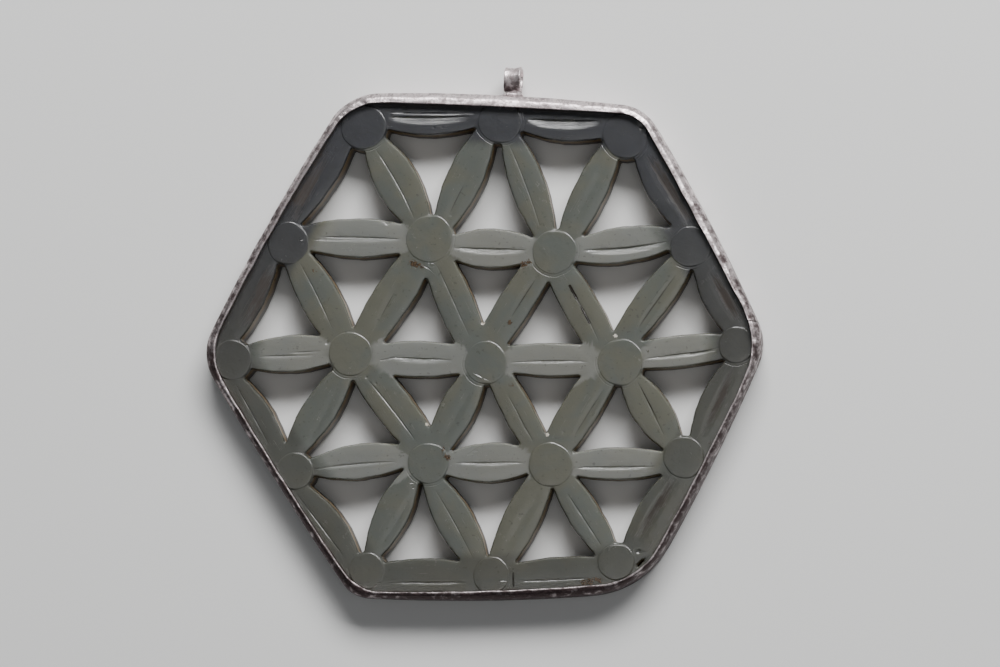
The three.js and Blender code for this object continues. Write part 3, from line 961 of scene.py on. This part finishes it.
class SILVER_OT_loop(bpy.types.Operator):
    """Bend the dished strip of the hanging loop and solder it on"""

    bl_idname = "silver.loop"
    bl_label = "Make the Hanging Loop"

    def execute(self, context):
        sizes = context.scene.silver_settings
        low, high = (Vector(corner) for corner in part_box("hanging_loop"))
        foot = Vector(((low.x + high.x) / 2, low.y, (low.z + high.z) / 2))
        tall, half = high.y - low.y, (high.z - low.z) / 2
        bm = bmesh.new()
        bmesh.ops.create_grid(bm, x_segments=14, y_segments=48, size=1.0)
        neck, belly, crown = (0.0, 0.50 * half), (0.45 * tall, 1.35 * half), (tall, 1.15 * half)
        bend = geometry.interpolate_bezier(
            Vector((*neck, 0)), Vector((*belly, 0)), Vector((*crown, 0)), Vector((tall, 0, 0)), 25
        )
        path = [(p.x, p.y) for p in bend] + [(p.x, -p.y) for p in reversed(bend[:-1])]
        ups, outs = np.array(path).T
        wall = 0.5 * MM
        for v in bm.verts:
            across, along = v.co.x, (v.co.y + 1) / 2 * (len(path) - 1)
            up, out = np.interp(along, range(len(path)), ups), np.interp(along, range(len(path)), outs)
            middle = Vector((0.42 * tall, 0))
            inset = wall / 2 + 0.09 * MM - 0.16 * MM * abs(across) ** 2.5
            spoke = Vector((up, out)) - middle
            up, out = middle + spoke * (1 - inset / spoke.length)
            wide = sizes.strip / 2 * (1 + 0.015 * math.sin(5 * along))
            v.co = foot + Vector((across * wide + 0.06 * up, up, out))
        bmesh.ops.recalc_face_normals(bm, faces=bm.faces)
        strip = new_object("hanging_strip", bm)
        applied(strip, "SOLIDIFY", thickness=LOOP_METAL * MM, offset=0.0)
        applied(strip, "BEVEL", width=0.09 * MM, segments=2, limit_method="ANGLE")
        applied(strip, "SUBSURF", levels=1, render_levels=1)

        bm = bmesh.new()
        bmesh.ops.create_icosphere(bm, subdivisions=5, radius=1.0)
        for v in bm.verts:
            x, y, z = v.co
            lump = 1 + 0.06 * math.sin(7 * x + 2) * math.cos(5 * z) + 0.04 * math.sin(11 * z + 4 * x)
            flare = 1.15 - 0.25 * y
            v.co = foot + Vector(
                (x * 1.1 * flare * lump, y * 0.62 * lump - 0.22, z * 1.2 * flare * lump)
            ) * MM
        solder = new_object("solder", bm)
        for made, lit_and_rubbed in ((strip, 0.40), (solder, 0.85)):
            made.data.shade_smooth()
            y = points(made.data)[:, 1]
            # The loop is painted brighter towards its top, on the key light's side.
            rise = smooth_between(foot.y / MM, high.y / MM, y)
            set_attribute(made.data, "lit_and_rubbed", np.clip(lit_and_rubbed + 0.7 * rise, 0, 1))
            set_attribute(made.data, "lap", np.full_like(y, FAR))
            made.data.materials.clear()
            made.data.materials.append(silver_material(sizes))
            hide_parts("hanging_loop")
            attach(made, "root")
        return {"FINISHED"}


def silver_material(sizes):
    return bpy.data.materials.get("worn_silver") or silver_finish(sizes)


# ---- Stage ----------------------------------------------------------------------------------

AIM = (0.0025, -0.0003, 0.0045)  # metres, where the camera looks
VIEW_SIDEWAYS = 7.5  # degrees that the camera stands to the right of straight above
VIEW_DOWN = 5.0  # and away from the loop
LENS = 134.51
SENSOR = 36.0
# The soft lights: azimuth from the loop's side, elevation, distance in metres and size.
KEY = (18, 42, 0.60, (0.46, 0.22))
FILL = (150, 70, 0.9, (0.7, 0.7))
FILL_SHARE = 0.16  # of the key light's power
AMBIENT = 0.06


class STAGE_OT_studio(bpy.types.Operator):
    """Set out the pale floor, the soft lights and the camera"""

    bl_idname = "stage.studio"
    bl_label = "Set the Stage"

    def execute(self, context):
        sizes = context.scene.stage_settings
        scene = context.scene
        bm = bmesh.new()
        bmesh.ops.create_grid(bm, x_segments=1, y_segments=1, size=2.0)
        floor = new_object("floor", bm)
        finish = Finish("floor", Roughness=0.85)
        grain = finish.noise(finish.place(), 0.02, 4.0)
        tone = finish.mix(grain * 0.12, tuple(sizes.floor), tuple(0.9 * c for c in sizes.floor))
        floor.data.materials.append(finish.wear(Base_Color=tone))

        world = bpy.data.worlds.new("studio")
        scene.world = world
        world.use_nodes = True
        backdrop = world.node_tree.nodes["Background"]
        backdrop.inputs["Color"].default_value = (0.9, 0.95, 1.0, 1)
        backdrop.inputs["Strength"].default_value = AMBIENT
        middle = (CAD_BOX[0] + CAD_BOX[1]) / 2
        self.light("key", middle, *KEY, sizes.key)
        self.light("fill", middle, *FILL, sizes.key * FILL_SHARE)

        aim = Vector(AIM)
        sideways, down = math.radians(VIEW_SIDEWAYS), math.radians(VIEW_DOWN)
        away = Vector((math.sin(sideways), -math.sin(down), 0))
        away.z = math.sqrt(1 - away.length_squared)
        camera = bpy.data.objects.new("camera", bpy.data.cameras.new("camera"))
        camera.data.lens = LENS
        camera.data.sensor_width = SENSOR
        camera.data.clip_start = 0.01
        camera.location = aim + away * sizes.distance
        right = Vector((0, 1, 0)).cross(away).normalized()
        camera.rotation_euler = Matrix((right, away.cross(right), away)).transposed().to_euler()
        scene.collection.objects.link(camera)
        scene.camera = camera
        return {"FINISHED"}

    def light(self, name, middle, azimuth, elevation, distance, size, power):
        """A soft light that faces the plaque. Azimuth 0 is on the loop's side."""
        turn, rise = math.radians(azimuth), math.radians(elevation)
        away = Vector((math.sin(turn) * math.cos(rise), math.cos(turn) * math.cos(rise), math.sin(rise)))
        lamp = bpy.data.lights.new(name, "AREA")
        lamp.shape = "RECTANGLE"
        lamp.size, lamp.size_y = size
        lamp.energy = power
        made = bpy.data.objects.new(name, lamp)
        made.location = middle + away * distance
        made.rotation_euler = away.to_track_quat("Z", "Y").to_euler()
        bpy.context.scene.collection.objects.link(made)


class PLAQUE_PT_panel(bpy.types.Panel):
    """Lists the steps that make the plaque"""

    bl_idname = "PLAQUE_PT_panel"
    bl_label = "Jade Plaque"
    bl_space_type = "VIEW_3D"
    bl_region_type = "UI"
    bl_category = "Jade Plaque"

    def draw(self, context):
        for step in STEPS:
            self.layout.operator(step.bl_idname)


STEPS = (JADE_OT_plaque, SILVER_OT_bezel, SILVER_OT_loop, STAGE_OT_studio)
SETTINGS = {
    "jade_settings": JadeSettings, "silver_settings": SilverSettings, "stage_settings": StageSettings,
}
CLASSES = (*SETTINGS.values(), *STEPS, PLAQUE_PT_panel)


def register():
    for cls in CLASSES:
        bpy.utils.register_class(cls)
    for name, group in SETTINGS.items():
        setattr(bpy.types.Scene, name, bpy.props.PointerProperty(type=group))


def unregister():
    for name in SETTINGS:
        delattr(bpy.types.Scene, name)
    for cls in reversed(CLASSES):
        bpy.utils.unregister_class(cls)


def main():
    register()
    for step in STEPS:
        space, name = step.bl_idname.split(".")
        getattr(getattr(bpy.ops, space), name)()


if __name__ == "__main__":
    main()
